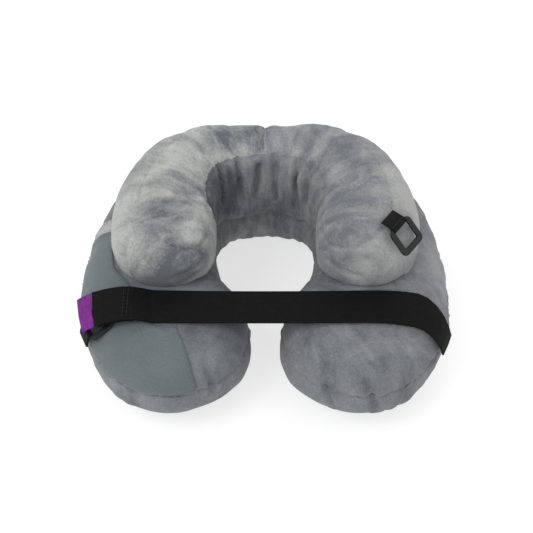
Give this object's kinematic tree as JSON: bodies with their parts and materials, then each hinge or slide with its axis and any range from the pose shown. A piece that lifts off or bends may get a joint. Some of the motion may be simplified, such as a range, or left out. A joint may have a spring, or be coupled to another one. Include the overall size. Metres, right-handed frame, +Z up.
{
  "type": "u shaped neck pillow",
  "caption": "U-shaped inflatable travel neck pillow in two tiers, in a sewn velour cover with a phone pocket, a front strap, a hanging ring, a rear zip and an air valve.",
  "frame": {"origin": "on the floor under the middle of the pillow's bounding box", "axes": "+X to the pillow's right arm as seen from the opening, +Y from the opening to the back of the neck, +Z up; it lies on its underside"},
  "size_m": [0.3108, 0.2554, 0.139],
  "materials": {
    "velour_light": "short brushed velour, light nap",
    "velour_mid": "short brushed velour, grey",
    "velour_dark": "short brushed velour, nap lying the dark way",
    "knit_grey": "fine smooth knit",
    "bladder_film": "flocked film",
    "elastic_black": "woven elastic",
    "webbing_black": "ribbed grosgrain",
    "plastic_black": "satin moulded plastic",
    "label_purple": "woven label, plain",
    "tape_grey": "woven zip tape",
    "coil_grey": "moulded coil",
    "metal_dark": "dark plated",
    "valve_grey": "soft moulded vinyl"
  },
  "bodies": {
    "pillow": {"lower_air_chamber": "bladder_film", "upper_air_chamber": "bladder_film", "lower_top_panel_left": "velour_mid", "lower_top_panel_right": "velour_mid", "lower_bottom_panel": "velour_mid", "neck_wall_lower": "velour_dark", "neck_wall_upper": "velour_dark", "upper_crown_panel_left": "velour_light", "upper_crown_panel_right": "velour_mid", "upper_side_band_left": "velour_light", "upper_side_band_right": "velour_light", "phone_pocket_panel": "knit_grey", "phone_pocket_hem": "knit_grey", "ring_webbing_right": "webbing_black", "ring_webbing_left": "webbing_black", "ring_left": "plastic_black", "zip_coil_upper": "coil_grey", "zip_coil_lower": "coil_grey", "zip_tape_upper": "tape_grey", "zip_tape_lower": "tape_grey", "zip_stop_left": "metal_dark", "zip_stop_right": "metal_dark", "valve_flange": "valve_grey", "valve_eyelet": "plastic_black", "valve_flap": "elastic_black"},
    "strap": {"front_strap": "elastic_black", "strap_end_fold": "elastic_black", "strap_label_tag": "label_purple", "strap_hook": "plastic_black"},
    "ring_right": {"ring_right": "plastic_black"},
    "zip_slider": {"zip_slider": "metal_dark"},
    "zip_pull": {"zip_pull": "metal_dark"},
    "valve_plug": {"valve_plug": "valve_grey"},
    "valve_cap": {"valve_cap": "valve_grey"}
  },
  "joints": [
    {"name": "strap_lift", "type": "hinge", "parent": "pillow", "child": "strap", "pos_m": [0.14723, -0.07896, 0.05303], "axis": [0, 1, 0], "range_deg": [0, 90]},
    {"name": "ring_right_swing", "type": "hinge", "parent": "pillow", "child": "ring_right", "pos_m": [0.10372, -0.02275, 0.13588], "axis": [-0.5994, -0.8005, 0], "range_deg": [0, 130]},
    {"name": "zip_travel", "type": "hinge", "parent": "pillow", "child": "zip_slider", "pos_m": [0, -0.3664, 0.05], "axis": [0, 0, -1], "range_deg": [0, 16]},
    {"name": "zip_pull_swing", "type": "hinge", "parent": "zip_slider", "child": "zip_pull", "pos_m": [-0.06949, 0.12251, 0.05], "axis": [0, 0, 1], "range_deg": [0, 170]},
    {"name": "valve_plug_swing", "type": "hinge", "parent": "pillow", "child": "valve_plug", "pos_m": [-0.06574, 0.10537, 0.10119], "axis": [0.0052, -0.0163, 0.9999], "range_deg": [0, 120]},
    {"name": "valve_cap_swing", "type": "hinge", "parent": "valve_plug", "child": "valve_cap", "pos_m": [-0.04226, 0.11055, 0.10115], "axis": [-0.0052, 0.0163, -0.9999], "range_deg": [0, 150]}
  ]
}
